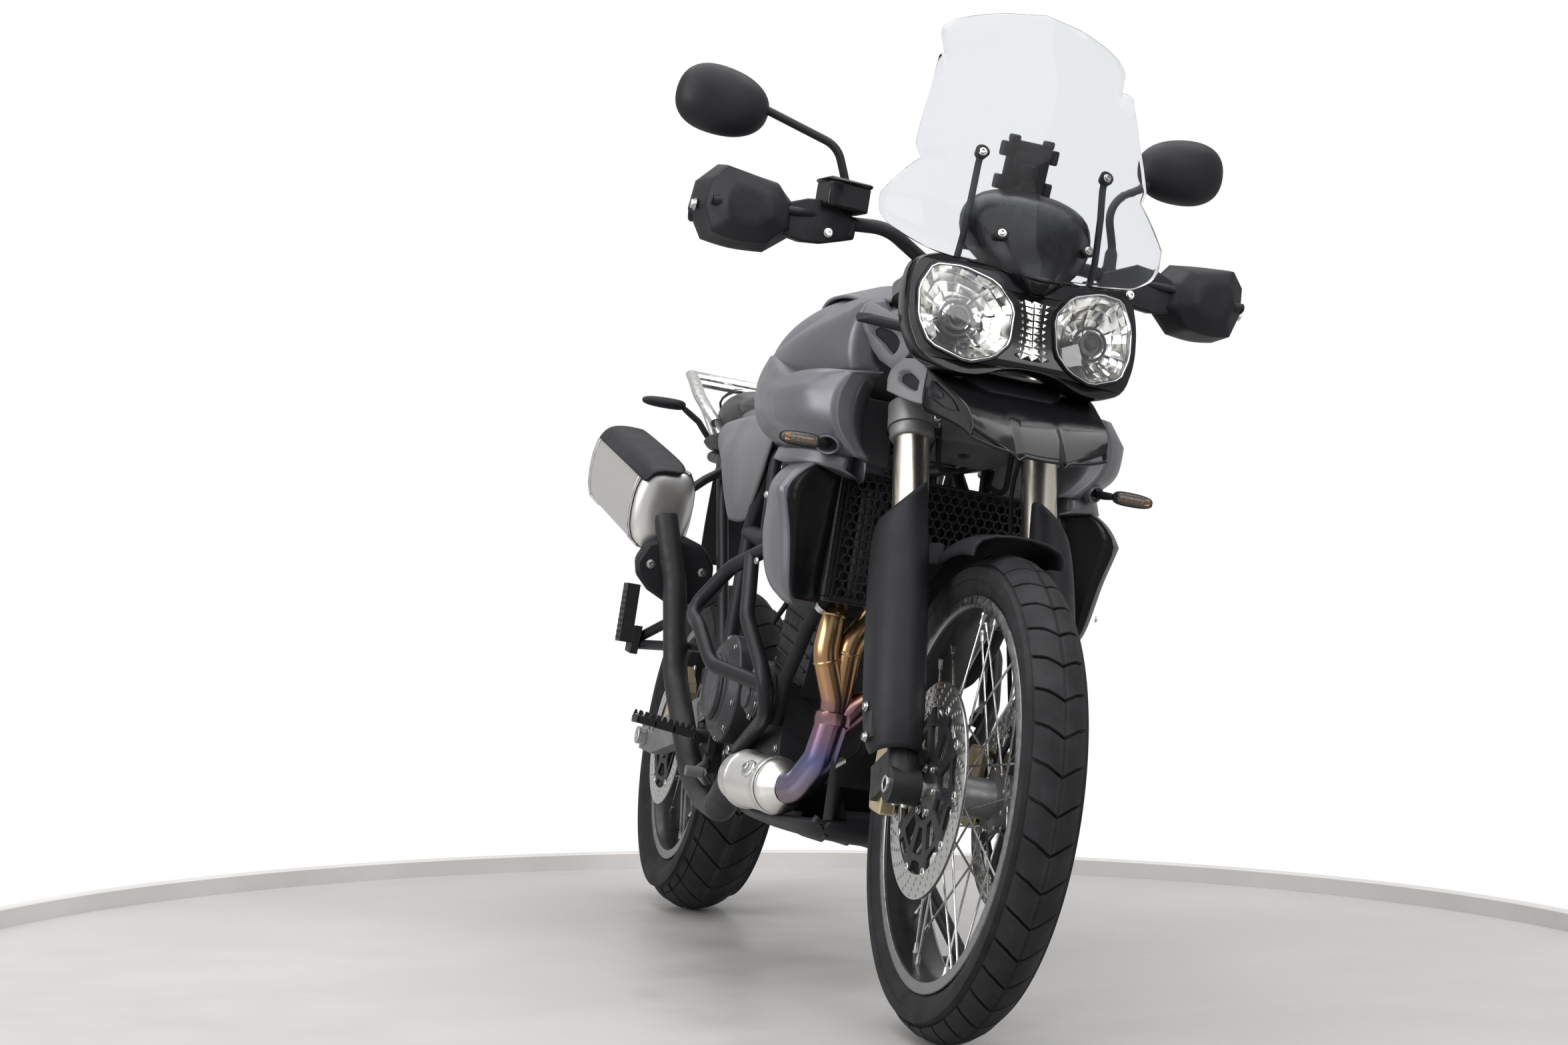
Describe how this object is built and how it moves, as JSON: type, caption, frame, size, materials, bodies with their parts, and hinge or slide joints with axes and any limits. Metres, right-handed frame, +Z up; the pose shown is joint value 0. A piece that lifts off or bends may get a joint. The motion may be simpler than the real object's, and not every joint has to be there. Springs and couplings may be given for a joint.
{
  "type": "adventure motorcycle",
  "caption": "Adventure motorcycle with wire wheels, twin lamps, tall screen, crash bars and side exhaust, leaning on its side stand.",
  "frame": {"origin": "on the floor under the middle of the object's box, as it leans on its side stand", "axes": "+Y rearward along the motorcycle, +X to its own left, +Z up from the floor"},
  "size_m": [0.9304, 2.2349, 1.5075],
  "materials": {
    "rubber_black": "matte",
    "frame_black": "satin powder coat",
    "gloss_black": "high gloss",
    "chain_steel": "oiled",
    "engine_black": "matte cast",
    "engine_grey": "satin",
    "brushed_steel": "brushed",
    "header_bronze": "heat-tinted gold to blue",
    "cast_grey": "cast, matte",
    "plastic_black": "moulded, fine grain",
    "cast_black": "matte cast",
    "fork_gold": "anodised pale champagne",
    "steel": "machined",
    "caliper_gold": "pale gold anodised",
    "disc_steel": "ground and drilled steel",
    "tyre": "matte road tread rubber",
    "rim_black": "black anodised with polished spokes",
    "paint_grey": "satin charcoal paint",
    "lamp_glass": "clear polycarbonate over chrome reflectors",
    "lens_amber": "smoked clear lens over amber diodes",
    "plastic_grey": "moulded dark grey",
    "seat_grey": "fine-grained vinyl",
    "radiator_black": "matte fins behind a mesh",
    "alloy_silver": "satin cast",
    "lens_red": "red lens",
    "screen_clear": "clear acrylic"
  },
  "bodies": {
    "frame": {"bash_plate": "frame_black", "beak": "gloss_black", "chain": "chain_steel", "crash_bars": "frame_black", "engine": "engine_black", "engine_covers": "engine_grey", "exhaust_collector": "brushed_steel", "exhaust_headers": "header_bronze", "fairing_stay": "frame_black", "foot_controls": "cast_grey", "fuel_tank": "paint_grey", "headlamps": "lamp_glass", "indicators": "lens_amber", "instruments": "plastic_black", "lamp_surround": "gloss_black", "main_frame": "frame_black", "nose_flanks": "plastic_grey", "phone_holder": "plastic_black", "pillion_pegs": "cast_black", "pillion_seat": "seat_grey", "radiator": "radiator_black", "radiator_cowls": "paint_grey", "rear_axle": "steel", "rear_caliper": "caliper_gold", "rear_rack": "alloy_silver", "rear_shock": "steel", "rear_subframe": "frame_black", "rider_pegs": "cast_black", "rider_seat": "seat_grey", "screen_brackets": "frame_black", "side_panels": "paint_grey", "silencer": "brushed_steel", "silencer_shield": "plastic_black", "stand_bracket": "frame_black", "swingarm": "cast_grey", "tail_light": "lens_red", "tail_unit": "plastic_black", "tank_shrouds": "paint_grey", "windscreen": "screen_clear"},
    "fork": {"fork_yokes": "cast_grey", "fork_tubes": "fork_gold", "fork_sliders": "cast_black", "fork_guards": "plastic_black", "front_mudguard": "plastic_black", "front_axle": "steel", "front_calipers": "caliper_gold", "handlebar": "frame_black", "bar_controls": "rubber_black", "handguards": "plastic_black", "mirrors": "plastic_black", "brake_hoses": "rubber_black"},
    "front_wheel": {"front_tyre": "tyre", "front_wire_wheel": "rim_black", "front_discs": "disc_steel"},
    "rear_wheel": {"rear_tyre": "tyre", "rear_wire_wheel": "rim_black", "rear_disc": "disc_steel", "rear_sprocket": "steel"},
    "side_stand": {"side_stand": "frame_black"}
  },
  "joints": [
    {"name": "steering", "type": "hinge", "parent": "frame", "child": "fork", "pos_m": [-0.03206, -0.48736, 0.86783], "axis": [0.1486, 0.3923, 0.9077], "range_deg": [-33, 33]},
    {"name": "front_wheel_spin", "type": "hinge", "parent": "fork", "child": "front_wheel", "pos_m": [-0.11792, -0.771, 0.34349], "axis": [0.9869, 0, -0.1616], "continuous": true},
    {"name": "rear_wheel_spin", "type": "hinge", "parent": "frame", "child": "rear_wheel", "pos_m": [-0.12212, 0.797, 0.31783], "axis": [0.9869, 0, -0.1616], "continuous": true},
    {"name": "side_stand_fold", "type": "hinge", "parent": "frame", "child": "side_stand", "pos_m": [0.03413, 0.073, 0.23246], "axis": [0.9563, 0, 0.2924], "range_deg": [0, 105]}
  ]
}
